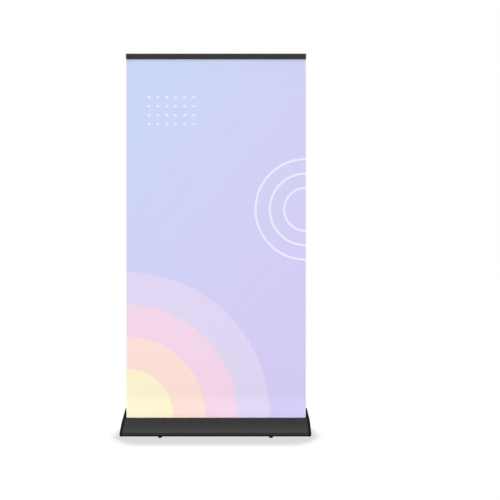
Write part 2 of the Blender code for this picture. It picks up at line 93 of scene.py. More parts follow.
# Dimensions of the looks alone
BEARING_RADIUS = 0.0089
WELL_RADIUS = 0.012  # the hole in the body round the pole's socket
FOOT_HOLE_RADIUS, SOCKET_SCREW_HOLE_RADIUS, CATCH_HOLE_RADIUS = 0.0069, 0.002, 0.0018
THREAD_DEPTH = 0.00065
RECESS_DEPTH = 0.42  # of a cross recess, as a share of its width
PILE_STEPS, PILE_LENGTH, PILE_NAP = 500, 1.002, 0.00035
FILM_HALF = 0.00017

# Camera and studio
CAMERA_AWAY, CAMERA_X, CAMERA_Z = 2.7, 0.14, 1.0235
CAMERA_LENS, CAMERA_SHIFT = 34.86, 0.0176
FLOOR_SIZE = 30
FLOOR_LEAN = (0.8, 0.6)  # the floor is shaded as if its light came from behind and above

ALONG_X = (math.pi / 2, 0, math.pi / 2)  # turns a drawn (depth, height) outline into a section along X
TURN_TO_X = (0, math.pi / 2, 0)
SIDES = (("left", -1), ("right", 1))


# Camera, light and floor

def build_camera():
    data = bpy.data.cameras.new("camera")
    data.sensor_width = 36
    data.lens = CAMERA_LENS
    data.shift_x = CAMERA_SHIFT
    camera = bpy.data.objects.new("camera", data)
    camera.location = (CAMERA_X, BANNER_Y - CAMERA_AWAY, CAMERA_Z)
    camera.rotation_euler = (math.pi / 2, 0, 0)
    bpy.context.scene.collection.objects.link(camera)
    bpy.context.scene.camera = camera


def put(tree, socket, value):
    """Links value to a socket, or sets it there if it is plain."""
    if isinstance(value, bpy.types.NodeSocket):
        tree.links.new(value, socket)
    else:
        socket.default_value = value


def add_node(tree, kind, inputs=None, **settings):
    made = tree.nodes.new("ShaderNode" + kind)
    for name, value in settings.items():
        setattr(made, name, value)
    for name, value in (inputs or {}).items():
        put(tree, made.inputs[name], value)
    return made


def nodes_of(tree):
    """Empties a tree, and gives back a function that adds nodes to it."""
    tree.nodes.clear()
    return partial(add_node, tree)


def span_inputs(value, low, high, out_low=0.0, out_high=1.0):
    return {"Value": value, "From Min": low, "From Max": high, "To Min": out_low, "To Max": out_high}


def build_world():
    """A white studio, brightest in front and behind and dimmer at both sides, seen as plain white."""
    world = bpy.data.worlds.new("studio")
    world.use_nodes = True
    add = nodes_of(world.node_tree)
    split = add("SeparateXYZ", {0: add("TexCoord").outputs["Generated"]})
    across = add("Math", {0: split.outputs["X"]}, operation="ABSOLUTE").outputs[0]
    level = add("Math", {0: split.outputs["Y"]}, operation="ABSOLUTE").outputs[0]
    ahead, dim = (
        add("MapRange", inputs, interpolation_type="SMOOTHSTEP").outputs[0]
        for inputs in (span_inputs(level, 0.1, 0.9, 0.99, 2.06), span_inputs(across, 0.35, 0.92, 1.0, 0.25))
    )
    strength = add("Math", {0: ahead, 1: dim}, operation="MULTIPLY").outputs[0]
    lit = add("Background", {"Color": (1, 1, 1, 1), "Strength": strength})
    seen = add("Background", {"Color": (1, 1, 1, 1), "Strength": 1.0})
    path = add("LightPath")
    choose = add("MixShader", {0: path.outputs["Is Camera Ray"], 1: lit.outputs[0], 2: seen.outputs[0]})
    add("OutputWorld", {"Surface": choose.outputs[0]})
    bpy.context.scene.world = world


def build_floor():
    bm = bmesh.new()
    bmesh.ops.create_grid(bm, x_segments=2, y_segments=2, size=FLOOR_SIZE)
    mesh = bpy.data.meshes.new("floor")
    bm.to_mesh(mesh)
    bm.free()
    floor = bpy.data.objects.new("floor", mesh)
    bpy.context.scene.collection.objects.link(floor)
    paint = bpy.data.materials.new("floor white")
    paint.use_nodes = True
    add = nodes_of(paint.node_tree)
    lean = add("CombineXYZ", {0: 0.0, 1: FLOOR_LEAN[0], 2: FLOOR_LEAN[1]}).outputs[0]
    near = add("AmbientOcclusion", {"Distance": 0.21, "Normal": lean}, samples=32).outputs["AO"]
    seen = add("MapRange", span_inputs(near, 0.69, 0.85, 0.705, 1.01)).outputs[0]
    lit = add("MapRange", span_inputs(near, 0.25, 0.95, 0.11, 0.75)).outputs[0]
    path = add("LightPath").outputs["Is Camera Ray"]
    glow = add("Mix", {0: path, 2: lit, 3: seen}).outputs[0]
    shine = add("Emission", {"Strength": glow})
    add("OutputMaterial", {"Surface": shine.outputs[0]})
    mesh.materials.append(paint)


# Materials

class Graph:
    """A material whose nodes are added by kind and joined as they are made."""

    def __init__(self, name, **values):
        self.material = bpy.data.materials.new(name)
        self.material.use_nodes = True
        self.tree = self.material.node_tree
        self.shader = self.tree.nodes["Principled BSDF"]
        for socket, value in values.items():
            self.shader.inputs[socket.replace("_", " ")].default_value = value

    def node(self, kind, inputs=None, **settings):
        return add_node(self.tree, kind, inputs, **settings)

    def math(self, operation, a, b=0.0):
        return self.node("Math", {0: a, 1: b}, operation=operation).outputs[0]

    def span(self, value, low, high, out_low=0.0, out_high=1.0, kind="SMOOTHSTEP"):
        """value's place between low and high, eased and clamped."""
        inputs = span_inputs(value, low, high, out_low, out_high)
        return self.node("MapRange", inputs, interpolation_type=kind, clamp=True).outputs[0]

    def mix(self, factor, a, b):
        return self.node("Mix", {0: factor, 6: a, 7: b}, data_type="RGBA").outputs[2]

    def coords(self, scale=(1, 1, 1), empty=None):
        place = self.node("TexCoord")
        place.object = empty
        return self.node("Mapping", {"Vector": place.outputs["Object"], "Scale": scale}).outputs[0]

    def noise(self, vector, scale, detail=2.0, roughness=0.5):
        inputs = {"Vector": vector, "Scale": scale, "Detail": detail, "Roughness": roughness}
        return self.node("TexNoise", inputs).outputs["Fac"]

    def bump(self, height, distance, strength=1.0, normal=None):
        inputs = {"Height": height, "Distance": distance, "Strength": strength}
        if normal is not None:
            inputs["Normal"] = normal
        return self.node("Bump", inputs).outputs[0]

    def join(self, **sockets):
        for socket, value in sockets.items():
            put(self.tree, self.shader.inputs[socket.replace("_", " ")], value)
        return self.material


def rgb(red, green, blue):
    """A linear colour from its sRGB bytes."""
    def linear(byte):
        part = byte / 255
        return part / 12.92 if part <= 0.04045 else ((part + 0.055) / 1.055) ** 2.4

    return (linear(red), linear(green), linear(blue), 1)


def grey(value):
    return (value, value, value, 1)


def anodised(name, shade, along, painted_light_and_shade=False):
    """Satin black anodised extrusion, with faint die lines that run along one axis of the piece."""
    g = Graph(name, Metallic=0.0, Specular_IOR_Level=0.30)
    stretch = [260.0] * 3
    stretch[along] = 1.2
    lines = g.noise(g.coords(stretch), 1.0, 3.0, 0.6)
    clouds = g.noise(g.coords(), 9.0, 3.0, 0.6)
    grain = g.noise(g.coords(), 2600.0, 1.0, 0.5)
    tone = g.math("ADD", g.math("MULTIPLY", lines, 0.5), g.math("MULTIPLY", clouds, 0.5))
    dark = (shade * 0.86, shade * 0.87, shade * 0.88, 1)
    light = (shade * 1.12, shade * 1.12, shade * 1.13, 1)
    colour = g.mix(g.span(tone, 0.35, 0.65), dark, light)
    if painted_light_and_shade:
        # Painted light and shade on the body: its front is painted a little lighter low down, and its lowest edge is
        # painted near black as shade
        place = g.node("SeparateXYZ", {0: g.coords()})
        height = place.outputs[2]
        low = g.span(height, 0.068, 0.036)
        colour = g.mix(low, colour, grey(shade * 1.62))
        colour = g.mix(g.span(height, 0.0325, 0.0285), colour, grey(shade * 0.10))
        # Painted shade on its back: darkened near the top and near the bottom, so that it is lightest half way up
        behind = g.span(place.outputs[1], 0.0, 0.03)
        rising, falling = g.span(height, 0.028, 0.058, 0.35, 1.0), g.span(height, 0.072, 0.094, 1.0, 0.12)
        back = g.math("MULTIPLY", rising, falling)
        colour = g.mix(g.math("MULTIPLY", behind, g.math("SUBTRACT", 1.0, back)), colour, grey(0))
    rough = g.math("ADD", g.span(tone, 0.3, 0.7, 0.40, 0.48), g.math("MULTIPLY", grain, 0.06))
    fine = g.bump(grain, 0.00002, 0.5)
    return g.join(Base_Color=colour, Roughness=rough, Normal=g.bump(lines, 0.00004, 0.35, fine))


def moulded(name, shade, roughness=0.5, spec=0.3):
    """Black moulded plastic with a fine spark-eroded skin."""
    g = Graph(name, Specular_IOR_Level=spec)
    place = g.coords()
    skin = g.noise(place, 1700.0, 2.0, 0.6)
    flow = g.noise(place, 22.0, 2.0, 0.5)
    colour = g.mix(g.span(flow, 0.35, 0.65), grey(shade * 0.85), grey(shade * 1.15))
    rough = g.span(flow, 0.3, 0.7, roughness - 0.04, roughness + 0.04)
    rough = g.math("ADD", rough, g.math("MULTIPLY", skin, 0.05))
    return g.join(Base_Color=colour, Roughness=rough, Normal=g.bump(skin, 0.00005, 0.5))


def cap_plastic(name):
    """The end caps' plastic, with painted shade: near black round its outer edge, on the fin above the body and
    along its bottom, and greyer on the flush band beside the body.
    """
    g = Graph(name, Specular_IOR_Level=0.10)
    place = g.coords()
    split = g.node("SeparateXYZ", {0: place})
    out = g.math("SUBTRACT", g.math("ABSOLUTE", split.outputs[0]), BODY_LENGTH / 2)
    skin = g.noise(place, 1500.0, 2.0, 0.6)
    flow = g.noise(place, 25.0, 2.0, 0.5)
    height = split.outputs[2]
    flat = g.mix(g.span(flow, 0.35, 0.65), grey(0.035), grey(0.040))
    edge = g.mix(g.span(flow, 0.35, 0.65), grey(0.002), grey(0.004))
    # Painted shade: the outer edge, the fin and the bottom edge are darkened
    rim = g.math("MAXIMUM", g.span(out, 0.001, 0.008), g.span(height, 0.080, 0.090))
    rim = g.math("MAXIMUM", rim, g.span(height, 0.028, 0.022))
    colour = g.mix(rim, flat, edge)
    rough = g.math("ADD", g.span(flow, 0.3, 0.7, 0.50, 0.58), g.math("MULTIPLY", skin, 0.05))
    return g.join(Base_Color=colour, Roughness=rough, Normal=g.bump(skin, 0.00005, 0.5))


def plated(name, shade, roughness=0.3, scale=350.0):
    """Zinc-plated steel, lightly mottled, with rubs in its roughness."""
    g = Graph(name, Metallic=1.0)
    place = g.coords()
    spots = g.node("TexVoronoi", {"Vector": place, "Scale": scale}, feature="F1").outputs["Distance"]
    rubs = g.noise(place, 900.0, 3.0, 0.6)
    light, dark = (shade, shade, shade * 1.02, 1), (shade * 0.8, shade * 0.81, shade * 0.84, 1)
    colour = g.mix(g.span(spots, 0.1, 0.7), light, dark)
    rough = g.span(rubs, 0.3, 0.7, roughness - 0.06, roughness + 0.1)
    return g.join(Base_Color=colour, Roughness=rough, Normal=g.bump(rubs, 0.00002, 0.4))


def mill(name):
    """Bare extruded aluminium with its die lines along X."""
    g = Graph(name, Metallic=1.0)
    lines = g.noise(g.coords((1.0, 420.0, 420.0)), 1.0, 3.0, 0.6)
    colour = g.mix(g.span(lines, 0.35, 0.65), (0.56, 0.57, 0.59, 1), (0.68, 0.69, 0.71, 1))
    rough = g.span(lines, 0.3, 0.7, 0.28, 0.42)
    return g.join(Base_Color=colour, Roughness=rough, Normal=g.bump(lines, 0.00005, 0.4))


def rubber(name):
    g = Graph(name, Specular_IOR_Level=0.25)
    place = g.coords()
    grain = g.noise(place, 1200.0, 4.0, 0.7)
    dust = g.noise(place, 120.0, 3.0, 0.6)
    colour = g.mix(g.span(dust, 0.45, 0.75), grey(0.008), grey(0.016))
    rough = g.span(grain, 0.3, 0.7, 0.7, 0.9)
    return g.join(Base_Color=colour, Roughness=rough, Normal=g.bump(grain, 0.0001, 0.5))


def pile(name):
    """Black felt of short fibres."""
    g = Graph(name, Specular_IOR_Level=0.1, Sheen_Weight=0.3, Sheen_Roughness=0.5)
    place = g.coords((1.0, 1.0, 0.35))
    fibres = g.noise(place, 3200.0, 4.0, 0.75)
    tufts = g.noise(place, 500.0, 2.0, 0.6)
    colour = g.mix(g.span(fibres, 0.35, 0.65), grey(0.006), grey(0.022))
    rough = g.span(fibres, 0.3, 0.7, 0.85, 1.0)
    height = g.math("ADD", fibres, tufts)
    return g.join(Base_Color=colour, Roughness=rough, Normal=g.bump(height, 0.0002, 0.8))


def braid(name):
    """A woven cover of crossing threads, with a light fleck."""
    g = Graph(name, Specular_IOR_Level=0.2)
    split = g.node("SeparateXYZ", {0: g.coords()})
    turn = g.math("ARCTAN2", split.outputs[1], split.outputs[0])
    rise = g.math("MULTIPLY", split.outputs[2], 1400.0)
    one = g.math("SINE", g.math("ADD", g.math("MULTIPLY", turn, 8.0), rise))
    two = g.math("SINE", g.math("SUBTRACT", g.math("MULTIPLY", turn, 8.0), rise))
    weave = g.math("MAXIMUM", one, two)
    colour = g.mix(g.span(weave, 0.0, 1.0), grey(0.006), grey(0.035))
    rough = g.span(weave, 0.0, 1.0, 0.9, 0.7)
    return g.join(Base_Color=colour, Roughness=rough, Normal=g.bump(weave, 0.0002, 0.7))


def film_back(name):
    """The graphic's light grey blockout back."""
    g = Graph(name, Specular_IOR_Level=0.35)
    place = g.coords()
    coat = g.noise(place, 3.0, 3.0, 0.5)
    grain = g.noise(place, 1900.0, 2.0, 0.5)
    colour = g.mix(g.span(coat, 0.35, 0.65), rgb(214, 214, 214), rgb(216, 216, 216))
    # Painted light: a touch paler low down, where the base shades it
    height = g.node("SeparateXYZ", {0: place}).outputs[2]
    colour = g.mix(g.span(height, 0.12, 0.55, 0.35, 0.0), colour, rgb(250, 250, 250))
    rough = g.span(grain, 0.3, 0.7, 0.48, 0.56)
    return g.join(Base_Color=colour, Roughness=rough, Normal=g.bump(grain, 0.00002, 0.4))


def film_rim(name):
    """The white film where it is cut."""
    g = Graph(name, Specular_IOR_Level=0.3)
    grain = g.noise(g.coords(), 2500.0, 2.0, 0.5)
    colour = g.mix(g.span(grain, 0.3, 0.7), rgb(234, 234, 235), rgb(240, 240, 240))
    return g.join(Base_Color=colour, Roughness=g.span(grain, 0.3, 0.7, 0.5, 0.6))


class Art(Graph):
    """The printed front: a generic pattern of plain shapes over a soft gradient, in metres on the graphic."""

    def __init__(self, name, empty):
        super().__init__(name, Specular_IOR_Level=0.35)
        split = self.node("SeparateXYZ", {0: self.coords((1, 1, 1), empty)})
        self.x, self.z = split.outputs[0], split.outputs[2]

    def minus(self, a, b):
        return self.math("SUBTRACT", a, b)

    def off(self, value, middle, half):
        """How far outside a band value is."""
        return self.minus(self.math("ABSOLUTE", self.minus(value, middle)), half)

    def away(self, dx, dz):
        squares = (self.math("MULTIPLY", d, d) for d in (dx, dz))
        return self.math("SQRT", self.math("ADD", *squares))

    def disc(self, x, z, radius):
        """How far outside a disc each point is."""
        return self.minus(self.away(self.minus(self.x, x), self.minus(self.z, z)), radius)

    def inside(self, far, soft=0.0012):
        return self.span(far, -soft, soft, 1.0, 0.0, "LINEAR")

    def line(self, far, width):
        return self.inside(self.minus(self.math("ABSOLUTE", far), width / 2))


def film_front(name, empty):
    a = Art(name, empty)
    # Ground: pale blue at the upper left, lavender below and to the right
    fall = a.math("MULTIPLY", a.minus(FILM_TOP, a.z), 0.50)
    spread = a.math("ADD", a.math("MULTIPLY", a.math("ADD", a.x, 0.5), 0.62), fall)
    ground = rgb(203, 214, 249)
    for low, high, tone in (
        (0.25, 0.56, rgb(207, 210, 248)),
        (0.56, 0.84, rgb(209, 208, 247)),
        (0.84, 1.20, rgb(213, 204, 247)),
    ):
        ground = a.mix(a.span(spread, low, high, kind="LINEAR"), ground, tone)
    # Nested quarter discs in the lower left corner
    for radius, tone in (
        (0.80, rgb(225, 215, 245)),
        (0.62, rgb(245, 215, 235)),
        (0.44, rgb(255, 225, 215)),
        (0.26, rgb(255, 245, 210)),
    ):
        ground = a.mix(a.inside(a.disc(-FILM_WIDTH / 2, 0.10, radius)), ground, tone)
    # Half rings on the right edge
    for radius in (0.12, 0.20, 0.28):
        ground = a.mix(a.line(a.disc(FILM_WIDTH / 2, 1.25, radius), 0.012), ground, rgb(235, 235, 255))
    # An upright block of dots
    pitch = 0.05
    cell_x, cell_z = (a.minus(a.math("FLOORED_MODULO", place, pitch), pitch / 2) for place in (a.x, a.z))
    dots = a.inside(a.minus(a.away(cell_x, cell_z), 0.007))
    block = a.inside(a.math("MAXIMUM", a.off(a.x, -5 * pitch, 3 * pitch), a.off(a.z, 36 * pitch, 2 * pitch)))
    ground = a.mix(a.math("MULTIPLY", dots, block), ground, rgb(240, 240, 255))
    # Painted light and shade: the print is a touch paler where the base shades it, and painted a little darker
    # towards the top
    level = a.span(a.z, 0.10, 0.27, 1.0, 0.88, "SMOOTHERSTEP")
    level = a.minus(level, a.span(a.z, 0.5, FILM_TOP, 0.0, 0.032, "LINEAR"))
    ground = a.mix(level, grey(0), ground)
    grain = a.noise(a.coords(), 1900.0, 2.0, 0.5)
    rough = a.span(grain, 0.3, 0.7, 0.40, 0.50)
    return a.join(Base_Color=ground, Roughness=rough, Normal=a.bump(grain, 0.00002, 0.3))


# Shapes

def finished(name, bm):
    """A mesh from bm, with its faces pointing out. bm is freed."""
    bmesh.ops.recalc_face_normals(bm, faces=bm.faces)
    mesh = bpy.data.meshes.new(name)
    bm.to_mesh(mesh)
    bm.free()
    return mesh


def smooth(mesh, angle=35):
    mesh.shade_smooth()
    mesh.set_sharp_from_angle(angle=math.radians(angle))
    return mesh


def evaluated(name, source):
    """The mesh that source's modifiers or curve make, welded. source is removed."""
    if source.name not in bpy.context.scene.collection.objects:
        bpy.context.scene.collection.objects.link(source)
    depsgraph = bpy.context.evaluated_depsgraph_get()
    mesh = bpy.data.meshes.new_from_object(source.evaluated_get(depsgraph))
    bpy.data.objects.remove(source)
    bm = bmesh.new()
    bm.from_mesh(mesh)
    bpy.data.meshes.remove(mesh)
    bmesh.ops.remove_doubles(bm, verts=bm.verts, dist=1e-6)
    return finished(name, bm)


def holder(name, mesh, location=(0, 0, 0), rotation=(0, 0, 0)):
    """A plain object for a mesh, in the scene."""
    made = bpy.data.objects.new(name, mesh)
    made.location = location
    made.rotation_euler = rotation
    bpy.context.scene.collection.objects.link(made)
    return made


def outline(name, points, depth, pieces=1):
    """A flat closed outline in XY, extruded by depth about its plane."""
    bm = bmesh.new()
    rows = []
    for n in range(pieces + 1):
        height = -depth / 2 + depth * n / pieces
        rows.append([bm.verts.new((across, up, height)) for across, up in points])
    for low, high in zip(rows, rows[1:]):
        for n in range(len(points)):
            bm.faces.new((low[n - 1], low[n], high[n], high[n - 1]))
    bm.faces.new(rows[0])
    bm.faces.new(rows[-1])
    return smooth(finished(name, bm))


def turned(name, profile, steps=64, ring=False):
    """A profile of (radius, height) turned about Z. A ring's profile is closed."""
    bm = bmesh.new()
    verts = [bm.verts.new((radius, 0, height)) for radius, height in profile]
    for first, second in zip(verts, verts[1:]):
        bm.edges.new((first, second))
    if ring:
        bm.edges.new((verts[-1], verts[0]))
    mesh = bpy.data.meshes.new(name)
    bm.to_mesh(mesh)
    bm.free()
    source = bpy.data.objects.new(name, mesh)
    screw = source.modifiers.new("turn", "SCREW")
    screw.steps = screw.render_steps = steps
    screw.use_merge_vertices = True
    screw.merge_threshold = 1e-6
    return smooth(evaluated(name, source))


def rod(name, radius, low, high, steps=48):
    return turned(name, ((0, high), (radius, high), (radius, low), (0, low)), steps)


def cuboid(name, low, high, width=0.0, segments=3):
    """A box with rounded edges."""
    bm = bmesh.new()
    low, high = Vector(low), Vector(high)
    for vert in bmesh.ops.create_cube(bm, size=1)["verts"]:
        vert.co = (low + high) / 2 + (high - low) * vert.co
    if width:
        bmesh.ops.bevel(bm, geom=bm.edges, offset=width, segments=segments, profile=0.5, affect="EDGES")
    return smooth(finished(name, bm), 50)


def joined(name, meshes_and_places):
    """One mesh of several separate solids, each moved to its own place."""
    bm = bmesh.new()
    for mesh, offset in meshes_and_places:
        known = len(bm.verts)
        bm.from_mesh(mesh)
        bm.verts.ensure_lookup_table()
        bmesh.ops.translate(bm, verts=bm.verts[known:], vec=offset)
    return smooth(finished(name, bm))


def combined(name, base, *steps, angle=35, bevel=0.0):
    """base with each (operation, tool) done in turn. The tools are removed."""
    for operation, tool in steps:
        boolean = base.modifiers.new(operation.lower(), "BOOLEAN")
        boolean.operation = operation
        boolean.object = tool
        boolean.solver = "EXACT"
    if bevel:
        edge = base.modifiers.new("rounded edges", "BEVEL")
        edge.width = bevel
        edge.segments = 2
        edge.limit_method = "ANGLE"
        edge.angle_limit = math.radians(40)
    bpy.context.view_layer.update()
    mesh = evaluated(name, base)
    for _, tool in steps:
        bpy.data.objects.remove(tool)
    return smooth(mesh, angle)


def arc(centre, radius, start, stop, count):
    """Points on an arc, with its ends given in degrees from +X towards +Y."""
    angles = [math.radians(start + (stop - start) * n / count) for n in range(count + 1)]
    return [(centre[0] + radius * math.cos(a), centre[1] + radius * math.sin(a)) for a in angles]


def bezier(start, handle, other_handle, stop, count):
    """Points after start on a cubic curve to stop."""
    points = []
    for n in range(1, count + 1):
        t = n / count
        weights = ((1 - t) ** 3, 3 * (1 - t) ** 2 * t, 3 * (1 - t) * t**2, t**3)
        points.append(
            tuple(
                sum(w * p[k] for w, p in zip(weights, (start, handle, other_handle, stop)))
                for k in (0, 1)
            )
        )
    return points


def grown(path, by):
    """An open path moved sideways, to its right, by a distance."""
    moved = []
    for n, point in enumerate(path):
        before = Vector(path[max(n - 1, 0)])
        after = Vector(path[min(n + 1, len(path) - 1)])
        way = (after - before).normalized()
        moved.append((point[0] + way.y * by, point[1] - way.x * by))
    return moved


def eased(points, radius, count=3):
    """A closed outline with its corners rounded, each by radius or less where its sides are short."""
    made = []
    for n, point in enumerate(points):
        here = Vector(point)
        before, after = Vector(points[n - 1]), Vector(points[(n + 1) % len(points)])
        turn = (here - before).angle(after - here, 0)
        if turn < math.radians(25):
            made.append(point)
            continue
        reach = min(radius, 0.4 * (here - before).length, 0.4 * (after - here).length)
        start = here + (before - here).normalized() * reach
        stop = here + (after - here).normalized() * reach
        made.append(tuple(start))
        handles = (tuple(end.lerp(here, 0.55)) for end in (start, stop))
        made += bezier(tuple(start), *handles, tuple(stop), count)
    return made


def at(x, depth, height):
    return (x, BANNER_Y + depth, height)


def piece(name, mesh, body, finish, node, matrix=None):
    """A visible piece that rides on a body and stands for a CAD node."""
    made = bpy.data.objects.new(name, mesh)
    if matrix is not None:
        made.matrix_world = matrix
    bpy.context.scene.collection.objects.link(made)
    finishes = finish if isinstance(finish, (list, tuple)) else [finish]
    for one in finishes:
        mesh.materials.append(one)
    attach(made, body)
    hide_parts(node)
    return made


def turned_at(location, rotation=(0, 0, 0)):
    from_angles = Matrix.Rotation(rotation[2], 4, "Z") @ Matrix.Rotation(rotation[1], 4, "Y")
    return Matrix.Translation(location) @ from_angles @ Matrix.Rotation(rotation[0], 4, "X")


def pole_matrix():
    lean = math.atan2(POLE_FOOT[0] - POLE_HEAD_AT[0], POLE_HEAD_AT[1] - POLE_FOOT[1])
    return Matrix.Translation(at(0, *POLE_FOOT)) @ Matrix.Rotation(lean, 4, "X")


# Base

def body_path(fine=1):
    """The body's outer side, from the slot down the front, under the base and over the back to the slot."""
    crest = (-SLOT_HALF - 0.001, FRONT_LIP)
    nose = (-0.0765, 0.0260)
    toe = (-0.0735, BODY_BOTTOM)
    heel = (0.104, BODY_BOTTOM)
    tuck = (0.1185, 0.024)
    bulge = (0.125, 0.055)
    shoulder = (0.062, 0.1015)
    brow = (SLOT_HALF + 0.0016, REAR_LIP)
    path = [(-SLOT_HALF, 0.079), (-SLOT_HALF, FRONT_LIP - 0.001), crest]
    path += bezier(crest, (-0.0311, 0.0708), (-0.0550, 0.0497), nose, 8 * fine)
    path += bezier(nose, (-0.0785, 0.0230), (-0.0785, BODY_BOTTOM), toe, 4 * fine)
    path += [heel]
    path += bezier(heel, (0.113, BODY_BOTTOM), (0.1165, 0.0165), tuck, 4 * fine)
    path += bezier(tuck, (0.1215, 0.034), (0.125, 0.043), bulge, 4 * fine)
    path += bezier(bulge, (0.125, 0.084), (0.096, 0.097), shoulder, 9 * fine)
    path += bezier(shoulder, (0.044, 0.104), (0.022, REAR_LIP), brow, 4 * fine)
    path += [(SLOT_HALF, REAR_LIP - 0.001), (SLOT_HALF, 0.0955)]
    return path


def build_body(finish):
    bm = bmesh.new()
    row = [bm.verts.new(at(BODY_LENGTH / 2, depth, height)) for depth, height in body_path(3)]
    edges = [bm.edges.new(pair) for pair in zip(row, row[1:])]
    swept = bmesh.ops.extrude_edge_only(bm, edges=edges)["geom"]
    far = [item for item in swept if isinstance(item, bmesh.types.BMVert)]
    bmesh.ops.translate(bm, verts=far, vec=(-BODY_LENGTH, 0, 0))
    mesh = bpy.data.meshes.new("body_shell")
    bm.to_mesh(mesh)
    bm.free()
    body = holder("body_shell_shape", mesh)
    shell = body.modifiers.new("wall", "SOLIDIFY")
    shell.thickness = BODY_WALL
    shell.offset = -1
    shell.use_even_offset = True

    half = BODY_LENGTH / 2
    boss = rod("boss", BOSS_RADIUS, -half, half, 24)
    bore = rod("bore", BORE_RADIUS, -half - 0.01, half + 0.01, 16)
    bosses = joined("bosses", [(boss, (-height, depth, 0)) for depth, height in BOSSES])
    bores = joined("bores", [(bore, (-height, depth, 0)) for depth, height in BOSSES])
    well = holder("well", rod("well", WELL_RADIUS, 0.020, 0.070, 64))
    well.matrix_world = pole_matrix()
    foot_hole = rod("foot_hole", FOOT_HOLE_RADIUS, 0, 0.02, 48)
    screw_hole = rod("screw_hole", SOCKET_SCREW_HOLE_RADIUS, 0, 0.02, 24)
    floor_holes = [(foot_hole, at(side * FOOT_X, FOOT_DEPTH, 0)) for _, side in SIDES]
    floor_holes += [(screw_hole, at(side * SOCKET_SCREW_X, SOCKET_SCREW_DEPTH, 0)) for _, side in SIDES]
    shape = combined(
        "body_shell",
        body,
        ("UNION", holder("bosses", bosses, at(0, 0, 0), TURN_TO_X)),
        ("DIFFERENCE", holder("bores", bores, at(0, 0, 0), TURN_TO_X)),
        ("DIFFERENCE", well),
        ("DIFFERENCE", holder("floor_holes", joined("floor_holes", floor_holes))),
        angle=28,
    )
    piece("body_shell", shape, "base", finish, "base_profile")


def eased_step(share):
    """share kept between 0 and 1, and eased at both."""
    share = min(1.0, max(0.0, share))
    return share * share * (3 - 2 * share)


def cap_outline(fine=3):
    """An end cap's side view: the body's section and the fin above it."""
    path = body_path(fine)
    around = grown(path[3 : -(4 * fine + 3)], CAP_MARGIN)
    peak = (0.0150, 0.1385)
    start, stop = around[-1], around[0]
    fin = bezier(start, (0.046, 0.1075), (0.033, 0.1385), peak, 7 * fine)
    fin += bezier(peak, (0.0035, 0.1385), (0.0015, 0.0970), stop, 8 * fine)[:-1]
    return around + fin


def cap_thickness(depth, height):
    """How thick an end cap is at a point: it leans in towards its top and swells towards its back."""
    swell = CAP_SWELL * eased_step((depth - 0.03) / 0.085)
    return CAP_THICK + swell - CAP_LEAN * max(0, height - CAP_LEAN_FROM)


def cap_mesh(side):
    """A loft of the side view whose outer edge is rounded off, with a slightly domed outer face."""
    edge = cap_outline()
    rings = [(1.0, 0.0), (1.0, 0.15), (1.0, 0.30)]  # (scale of the side view, share of the thickness)
    for n in range(13):
        turn = math.pi / 2 * n / 12
        rings.append((1 - 0.088 * (1 - math.cos(turn)), 0.46 + 0.50 * math.sin(turn)))
    rings += [(0.80, 0.975), (0.60, 0.990), (0.35, 0.998), (0.15, 1.0)]
    inner = BODY_LENGTH / 2 + GAP
    bm = bmesh.new()
    loops = []
    for scale, share in rings:
        loop = []
        for depth, height in edge:
            depth = CAP_CENTRE[0] + (depth - CAP_CENTRE[0]) * scale
            height = CAP_CENTRE[1] + (height - CAP_CENTRE[1]) * scale
            x = side * (inner + share * cap_thickness(depth, height))
            loop.append(bm.verts.new(at(x, depth, height)))
        loops.append(loop)
    for near, far in zip(loops, loops[1:]):
        for n in range(len(edge)):
            bm.faces.new((near[n - 1], near[n], far[n], far[n - 1]))
    middle = bm.verts.new(at(side * (inner + CAP_THICK), *CAP_CENTRE))
    for n in range(len(edge)):
        bm.faces.new((loops[-1][n - 1], loops[-1][n], middle))
    bm.faces.new(loops[0])
    return smooth(finished("cap", bm))


def cross_recess(size, depth, top):
    """A tapered cross for a driver, cut down from top."""
    bm = bmesh.new()
    for turn in (0, math.pi / 2):
        made = bmesh.ops.create_cube(bm, size=1)["verts"]
        for vert in made:
            share = 1.0 if vert.co.z > 0 else 0.45
            wide, thin = vert.co.x * size * share, vert.co.y * size * 0.26 * share
            high = top - depth / 2 + vert.co.z * (depth + 0.0004) + 0.0002
            vert.co = (wide, thin + 0.00001 * math.sin(turn), high)
        bmesh.ops.rotate(bm, verts=made, cent=(0, 0, 0), matrix=Matrix.Rotation(turn, 3, "Z"))
    return finished("cross", bm)


def screw_mesh(name, profile, recess, top, steps=32):
    """A turned screw with a cross recess in its head, which is at height top."""
    cross = holder("cross_tool", cross_recess(recess, recess * RECESS_DEPTH, top))
    body = holder(name + "_shape", turned(name, profile, steps))
    boolean = body.modifiers.new("recess", "BOOLEAN")
    boolean.operation = "DIFFERENCE"
    boolean.object = cross
    boolean.solver = "EXACT"
    boolean.use_self = True
    bpy.context.view_layer.update()
    mesh = evaluated(name, body)
    bpy.data.objects.remove(cross)
    return smooth(mesh, 30)


